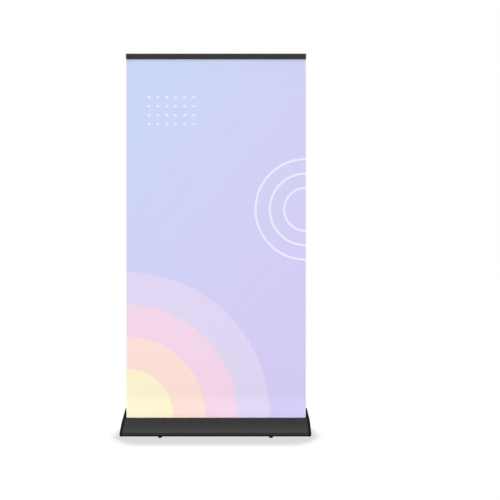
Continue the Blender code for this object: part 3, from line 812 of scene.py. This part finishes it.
def build_caps(finish, steel):
    inner = BODY_LENGTH / 2 + GAP
    seat_profile = (
        (0, 0.03), (0.0038, 0.03), (0.0038, 0.004), (BORE_RADIUS, 0.004), (BORE_RADIUS, -0.002), (0, -0.002),
    )
    seat = turned("screw_seat", seat_profile, 40)
    head = [(0, 0.0068)]
    head += [(0.0032 * math.sin(a), 0.0056 + 0.0012 * math.cos(a)) for a in (0.35, 0.7, 1.05, 1.35)]
    head += [(0.0032, 0.0054), (0.0032, 0.0045), (0.0030, 0.0043)]
    screw = screw_mesh("cap_screw", head + [(0.0018, 0.0043), (0.0018, -0.014), (0, -0.016)], 0.0034, 0.0068)
    front = ((-0.050, 0.028), (-0.010, 0.028), (-0.006, 0.034), (-0.006, 0.066), (-0.014, 0.066))
    back = ((0.040, 0.022), (0.082, 0.022), (0.108, 0.036), (0.110, 0.058), (0.098, 0.076), (0.040, 0.080))
    for word, side in SIDES:
        turn = (0, side * math.pi / 2, 0)
        seats = joined("seats", [(seat, (-side * height, depth, 0)) for depth, height in BOSSES])
        bearing = rod("bearing", BEARING_RADIUS, -0.002, 0.0098)
        steps = [
            ("DIFFERENCE", holder("seats", seats, at(side * inner, 0, 0), turn)),
            ("DIFFERENCE", holder("bearing", bearing, at(side * inner, ROLLER_DEPTH, ROLLER_HEIGHT), turn)),
        ]
        for points in (front, back):
            hollow = outline("hollow", eased(points, 0.003), 0.028)
            steps.append(("DIFFERENCE", holder("hollow", hollow, at(side * inner, 0, 0), ALONG_X)))
        shape = combined("cap_" + word, holder("cap_shape", cap_mesh(side)), *steps)
        piece("cap_" + word, shape, "base", finish, "end_cap_" + word)
        for number, (depth, height) in enumerate(BOSSES, 1):
            where = turned_at(at(side * inner, depth, height), turn) @ Matrix.Rotation(0.7 * number, 4, "Z")
            name = f"cap_bolt_{word}_{number}"
            piece(name, screw.copy(), "base", steel, f"cap_screw_{word}_{number}", where)


def build_felts(finish):
    """Strips of pile on both sides of the slot, with an uneven nap."""
    rng = np.random.default_rng(5)
    for word, near, far, low, high in (
        ("front", -SLOT_HALF + GAP, -0.0010, 0.080, 0.0880),
        ("rear", SLOT_HALF - GAP, 0.0010, 0.096, 0.1035),
    ):
        bm = bmesh.new()
        corners = eased(((near, low), (far, low), (far, high), (near, high)), 0.0006, 3)
        rows = []
        for n in range(PILE_STEPS + 1):
            x = -PILE_LENGTH / 2 + PILE_LENGTH * n / PILE_STEPS
            nap = rng.uniform(0.0, PILE_NAP, len(corners))
            row = []
            for k, (depth, height) in enumerate(corners):
                deep = max(0.0, (depth - near) / (far - near))
                lower = nap[k] if height > (low + high) / 2 else 0.0
                short = (far - near) * deep * nap[k] / 0.0025
                row.append(bm.verts.new(at(x, depth - short, height - lower)))
            rows.append(row)
        for one, other in zip(rows, rows[1:]):
            for k in range(len(corners)):
                bm.faces.new((one[k - 1], one[k], other[k], other[k - 1]))
        bm.faces.new(rows[0])
        bm.faces.new(rows[-1])
        shape = smooth(finished("felt", bm), 60)
        piece("pile_strip_" + word, shape, "base", finish, "slot_felt_" + word)


def build_rear_pads(finish):
    for word, side in SIDES:
        block = cuboid("pad", (-0.015, -0.009, 0), (0.015, 0.009, BODY_BOTTOM - GAP), 0.0014, 4)
        steps = []
        for n in (-1, 0, 1):
            middle = n * 0.007
            groove = cuboid("groove", (middle - 0.0009, -0.012, -0.001), (middle + 0.0009, 0.012, 0.0009), 0.0003, 2)
            steps.append(("DIFFERENCE", holder("groove", groove)))
        shape = combined("rear_block_" + word, holder("pad_shape", block), *steps)
        where = turned_at(at(side * REAR_PAD_X, REAR_PAD_DEPTH, 0))
        piece("rear_block_" + word, shape, "base", finish, "rear_pad_" + word, where)


def thread_mesh(name, major, minor, pitch, low, high, around=36, per_turn=8):
    """A rod with a helical thread and flat ends."""
    rows = int((high - low) / pitch * per_turn)
    bm = bmesh.new()
    rings = []
    for n in range(rows + 1):
        height = low + (high - low) * n / rows
        fade = min(1.0, (height - low) / 0.0009, (high - height) / 0.0009)
        ring = []
        for k in range(around):
            turn = 2 * math.pi * k / around
            phase = (height / pitch - k / around) % 1
            crest = min(1.0, max(0.0, abs(phase - 0.5) * 2.6 - 0.55))
            radius = minor + (major - minor) * (1 - crest) * fade
            ring.append(bm.verts.new((radius * math.cos(turn), radius * math.sin(turn), height)))
        rings.append(ring)
    for one, other in zip(rings, rings[1:]):
        for k in range(around):
            bm.faces.new((one[k - 1], one[k], other[k], other[k - 1]))
    bm.faces.new(rings[0])
    bm.faces.new(rings[-1])
    return smooth(finished(name, bm), 60)


def knurled(name, profile, teeth, deep, low, high):
    """A turned shape whose rim is scalloped between two heights."""
    mesh = turned(name, profile, teeth * 6)
    for vert in mesh.vertices:
        x, y, z = vert.co
        radius = math.hypot(x, y)
        if low <= z <= high and radius > PAD_RADIUS * 0.85:
            wave = 0.5 - 0.5 * math.cos(math.atan2(y, x) * teeth)
            share = (radius - deep * wave**2) / radius
            vert.co.x, vert.co.y = x * share, y * share
    return smooth(mesh, 40)


def build_feet(steel, rubber_finish):
    insert_profile = (
        (0.0065, 0.0238), (0.0063, 0.024), (0.0043, 0.024), (0.0041, 0.0238), (0.0041, 0.0108),
        (0.0044, 0.0105), (0.0087, 0.0105), (0.009, 0.0108), (0.009, BODY_BOTTOM - 0.0006),
        (0.0088, BODY_BOTTOM - 0.0004), (0.0065, BODY_BOTTOM - 0.0004),
    )
    round_off = 0.0025
    middle = (PAD_RADIUS - round_off, PAD_HEIGHT - round_off)
    rim = [(middle[0], PAD_HEIGHT)]
    rim += [(middle[0] + round_off * math.sin(a), middle[1] + round_off * math.cos(a)) for a in (0.4, 0.8, 1.2)]
    rim += [(PAD_RADIUS, middle[1]), (PAD_RADIUS, 0.0035), (PAD_RADIUS, 0.0014)]
    rim += [(PAD_RADIUS - 0.0004, 0.0004), (PAD_RADIUS - 0.0012, 0.0), (0.006, 0.0), (0.0055, 0.0006), (0, 0.0006)]
    pad_profile = [(0, 0.0035), (0.0041, 0.0035), (0.0041, PAD_HEIGHT)] + rim
    for word, side in SIDES:
        here = turned_at(at(side * FOOT_X, FOOT_DEPTH, 0))
        insert = turned("insert", insert_profile, 64, ring=True)
        piece("threaded_insert_" + word, insert, "base", steel, "foot_insert_" + word, here)
        pad = knurled("pad", pad_profile, 24, 0.0009, 0.0010, PAD_HEIGHT - 0.001)
        piece("levelling_pad_" + word, pad, "foot_" + word, rubber_finish, "foot_pad_" + word, here)
        stud = thread_mesh("stud", STUD_RADIUS, STUD_RADIUS - THREAD_DEPTH, PITCH, 0.0038, 0.027)
        piece("levelling_stud_" + word, stud, "stud_" + word, steel, "foot_screw_" + word, here)


# Graphic

def build_film(front, back, rim):
    """The hung film: one closed sheet, barely wavy between the slot and the rail."""
    across, up = 64, 160
    bm = bmesh.new()

    def lie(x, z):
        calm = eased_step(min((z - 0.11) / 0.25, (2.083 - z) / 0.25))
        wave = 0.00022 * math.sin(5.3 * x + 1.1 * z) + 0.00018 * math.sin(2.1 * z - 3.2 * x + 0.8)
        curl = -0.00035 * abs(2 * x) ** 6 * (0.7 + 0.3 * math.sin(3.3 * z))
        return calm * (wave + curl)

    sides = []
    for sign in (-1, 1):
        grid = []
        for j in range(up + 1):
            z = FILM_BOTTOM + (FILM_TOP - FILM_BOTTOM) * j / up
            row = []
            for i in range(across + 1):
                x = FILM_WIDTH * (i / across - 0.5)
                row.append(bm.verts.new((x, BANNER_Y + lie(x, z) + sign * FILM_HALF, z)))
            grid.append(row)
        sides.append(grid)
    for number, grid in enumerate(sides):
        for j in range(up):
            for i in range(across):
                face = bm.faces.new((grid[j][i], grid[j][i + 1], grid[j + 1][i + 1], grid[j + 1][i]))
                face.material_index = number
    near, far = sides
    border = [(j, 0) for j in range(up)] + [(up, i) for i in range(across)]
    border += [(j, across) for j in range(up, 0, -1)] + [(0, i) for i in range(across, 0, -1)]
    for (a, b), (c, d) in zip(border, border[1:] + border[:1]):
        face = bm.faces.new((near[a][b], near[c][d], far[c][d], far[a][b]))
        face.material_index = 2
    shape = smooth(finished("film", bm), 60)
    film = piece("film", shape, "base", [front, back, rim], "graphic_panel")
    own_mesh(film)


# Top rail

def back_section():
    """The rail's back, drawn about the jaw's bead: the open channel that holds it, and two fine grooves."""
    outer = arc((0, 0), RAIL_RISE, 0, 137, 30)
    inner = arc((0, 0), 0.0028, 137, -62, 36)
    back = [(RAIL_RISE, -RAIL_DROP)]
    for low in (-0.0212, -0.0022):
        back += [(RAIL_RISE, low - 0.0004), (RAIL_RISE - 0.0003, low), (RAIL_RISE, low + 0.0004)]
    back += outer + inner
    back += [(0.003, -0.004), (0.003, -RAIL_DROP + 0.002), (0.0026, -RAIL_DROP + 0.002), (0.0026, -RAIL_DROP)]
    return back


def jaw_section():
    """The rail's front: a face plate, the lip that grips the film and the bead it turns on."""
    slope = math.radians(215)
    bead, neck = 0.0023, 0.0008
    face, front, ease = -0.005, -0.0064, 0.0005
    spread = math.degrees(math.asin(neck / bead))
    lower = face * math.tan(slope) - neck / abs(math.cos(slope))
    upper = face * math.tan(slope) + neck / abs(math.cos(slope))
    section = arc((front + ease, RAIL_RISE - ease), ease, 90, 180, 4)
    section += arc((front + ease, -RAIL_DROP + ease), ease, 180, 270, 4)
    section += [(0.0014, -RAIL_DROP), (0.0014, -RAIL_DROP + 0.0015), (face, -RAIL_DROP + 0.0015), (face, lower)]
    section += arc((0, 0), bead, 215 + spread, 575 - spread, 40)
    section += [(face, upper), (face, RAIL_RISE)]
    return section


def sided_cuboid(name, side, low, high, width):
    """A box given for the right side, and mirrored for the left."""
    left, right = sorted((side * low[0], side * high[0]))
    return cuboid(name, (left, *low[1:]), (right, *high[1:]), width)


def build_rail(metal, plastic, steel):
    hinge = at(0, *RAIL_HINGE)

    def drill():
        hole = rod("catch_hole", CATCH_HOLE_RADIUS, -0.01, 0.01, 24)
        pair = joined("catch_holes", [(hole, (side * CATCH_SCREW_X, 0, 0)) for _, side in SIDES])
        return holder("catch_holes", pair, at(0, 0.003, CATCH_SCREW_HEIGHT), (math.pi / 2, 0, 0))

    back = holder("rail_shape", outline("rail_back", back_section(), RAIL_LENGTH), hinge, ALONG_X)
    shape = combined("rail_back", back, ("DIFFERENCE", drill()))
    piece("rail_back", shape, "top_rail", metal, "rail_back_profile", turned_at(hinge, ALONG_X))
    jaw = outline("rail_jaw", jaw_section(), RAIL_LENGTH)
    piece("rail_jaw", jaw, "rail_jaw", metal, "rail_front_jaw", turned_at(hinge, ALONG_X))

    inner = RAIL_LENGTH / 2 + GAP
    for word, side in SIDES:
        plate = sided_cuboid(
            "rail_end", side, (inner, -0.0064, -RAIL_DROP), (inner + RAIL_CAP, RAIL_RISE, RAIL_RISE), 0.00045
        )
        stub = sided_cuboid(
            "rail_end", side, (inner - 0.0100, -0.0042, -0.0199), (inner + 0.0005, 0.0009, -0.0099), 0.0004
        )
        shape = combined("rail_end_" + word, holder("plate", plate), ("UNION", holder("stub", stub)))
        piece("rail_end_" + word, shape, "top_rail", plastic, "rail_cap_" + word, turned_at(hinge))

    steps = []
    for near, far in ((0.0113, 0.0143), (-0.0143, -0.0113)):
        prong = cuboid("prong", at(near, 0.0040, 2.0900), at(far, 0.0190, 2.1100), 0.0007, 4)
        steps.append(("UNION", holder("prong", prong)))
    steps.append(("DIFFERENCE", drill()))
    plate = cuboid("plate", at(-0.022, 0.0029, 2.0890), at(0.022, 0.0049, 2.1130), 0.0006, 4)
    shape = combined("pole_catch", holder("catch_plate", plate), *steps)
    piece("pole_catch", shape, "top_rail", plastic, "rail_catch")
    head = [(0, 0.0018), (0.0009, 0.00175), (0.0018, 0.00145), (0.0025, 0.0009), (0.0027, 0.0005), (0.0027, 0)]
    screw = screw_mesh("catch_bolt", head + [(0.0014, 0), (0.0014, -0.0043), (0, -0.0043)], 0.0030, 0.0018)
    for word, side in SIDES:
        here = turned_at(at(side * CATCH_SCREW_X, 0.0052, CATCH_SCREW_HEIGHT), (-math.pi / 2, 0, 0))
        piece("catch_bolt_" + word, screw.copy(), "top_rail", steel, "catch_screw_" + word, here)


# Pole

def build_pole(metal, plastic, steel):
    frame_matrix = pole_matrix()
    first, second = POLE_JOINTS
    chamfer = 0.0003
    for word, low, high in (("lower", 0.003, first), ("mid", first, second), ("top", second, POLE_TOP)):
        low += GAP
        profile = (
            (POLE_RADIUS, high - chamfer), (POLE_RADIUS, low + chamfer), (POLE_RADIUS - chamfer, low),
            (POLE_BORE, low), (POLE_BORE, high), (POLE_RADIUS - chamfer, high),
        )
        shape = turned("tube", profile, 64, ring=True)
        piece("pole_section_" + word, shape, "pole_" + word, metal, f"pole_{word}_tube", frame_matrix)

    plug = (
        (0, 0.020), (FERRULE_RADIUS, 0.020), (FERRULE_RADIUS, 0.003), (POLE_RADIUS, 0.003),
        (POLE_RADIUS, 0.0010), (POLE_RADIUS - 0.0003, 0.0003), (POLE_RADIUS - 0.0010, 0), (0, 0),
    )
    piece("pole_end_plug", turned("plug", plug), "pole_lower", plastic, "pole_foot_plug", frame_matrix)

    skirt = POLE_TOP - 0.013
    head = [(0, HEAD_TOP)] + [(0.0025 + x, HEAD_TOP - 0.008 + y) for x, y in arc((0, 0), 0.008, 90, 0, 16)]
    head += [
        (0.0105, skirt + 0.0009), (0.0103, skirt + 0.0003), (0.0098, skirt), (0.0085, skirt),
        (0.0085, POLE_TOP + 0.0005), (FERRULE_RADIUS, POLE_TOP + 0.0005), (FERRULE_RADIUS, POLE_TOP - 0.027),
        (0.003, POLE_TOP - 0.027), (0.003, POLE_TOP + 0.010), (0, POLE_TOP + 0.010),
    ]
    piece("pole_dome", turned("dome", head), "pole_top", plastic, "pole_head", frame_matrix)

    socket_profile = (
        (0, -0.0005), (0.0085, -0.0005), (0.0085, 0.0470), (0.0088, 0.0481), (0.0093, 0.0488),
        (0.0099, 0.049), (0.0107, 0.049), (0.0113, 0.0487), (0.0115, 0.0482), (0.0115, -0.036),
        (0.020, -0.037), (0.020, -0.041), (0, -0.041),
    )
    socket = holder("socket_shape", turned("socket", socket_profile))
    socket.matrix_world = frame_matrix
    hole = rod("hole", SOCKET_SCREW_HOLE_RADIUS, 0.008, 0.022, 24)
    pair = joined("holes", [(hole, (side * SOCKET_SCREW_X, 0, 0)) for _, side in SIDES])
    drill = holder("holes", pair, at(0, SOCKET_SCREW_DEPTH, 0))
    shape = combined("pole_cup", socket, ("DIFFERENCE", drill))
    piece("pole_cup", shape, "base", plastic, "pole_socket", frame_matrix)

    top = BODY_BOTTOM - 0.0004
    profile = (
        (0, 0.0178), (0.0015, 0.0170), (0.0015, top), (0.0032, top), (0.0032, top - 0.0006),
        (0.0028, top - 0.0012), (0.0020, top - 0.0016), (0, top - 0.0018),
    )
    screw = turned("socket_bolt", profile, 32)
    for word, side in SIDES:
        here = turned_at(at(side * SOCKET_SCREW_X, SOCKET_SCREW_DEPTH, 0))
        piece("socket_bolt_" + word, screw.copy(), "base", steel, "socket_screw_" + word, here)


bpy.context.scene.view_settings.view_transform = "Standard"
build_camera()
build_world()
build_floor()

# The body's material has painted light and shade: lighter low on its front, near black along its lowest edge, darker
# on its back above and below
metal = anodised("black anodised body", 0.0185, 0, painted_light_and_shade=True)
section_metal = anodised("black anodised section", 0.0060, 2)
black = moulded("black plastic", 0.008)
steel = plated("zinc plated steel", 0.55)
blackened = plated("blackened steel", 0.05, 0.40)
soft = rubber("black rubber")
felt = pile("black felt")

build_body(metal)
build_caps(cap_plastic("end cap plastic"), steel)
build_felts(felt)
build_rear_pads(soft)
build_feet(steel, soft)
top_rail = frame["bodies"]["top_rail"]
build_film(film_front("printed front", top_rail), film_back("blockout back"), film_rim("cut edge"))
build_rail(section_metal, black, blackened)
build_pole(section_metal, black, steel)

# Inside the base and the pole
INNER = {
    "roller_tube": mill("mill aluminium"),
    "wound_graphic": film_back("wound film"),
    "torsion_spring": plated("spring steel", 0.42, 0.28, 900.0),
    "shock_cord": braid("braided cord"),
}
for name in ("spring_arbor", "pole_ferrule_lower", "pole_ferrule_upper"):
    INNER[name] = steel
for name in ("idle_plug", "idle_bush", "spring_drive_plug", "arbor_holder", "spring_anchor"):
    INNER[name] = black
for name, finish in INNER.items():
    for place in frame["nodes"][name].material_slots:
        place.material = finish
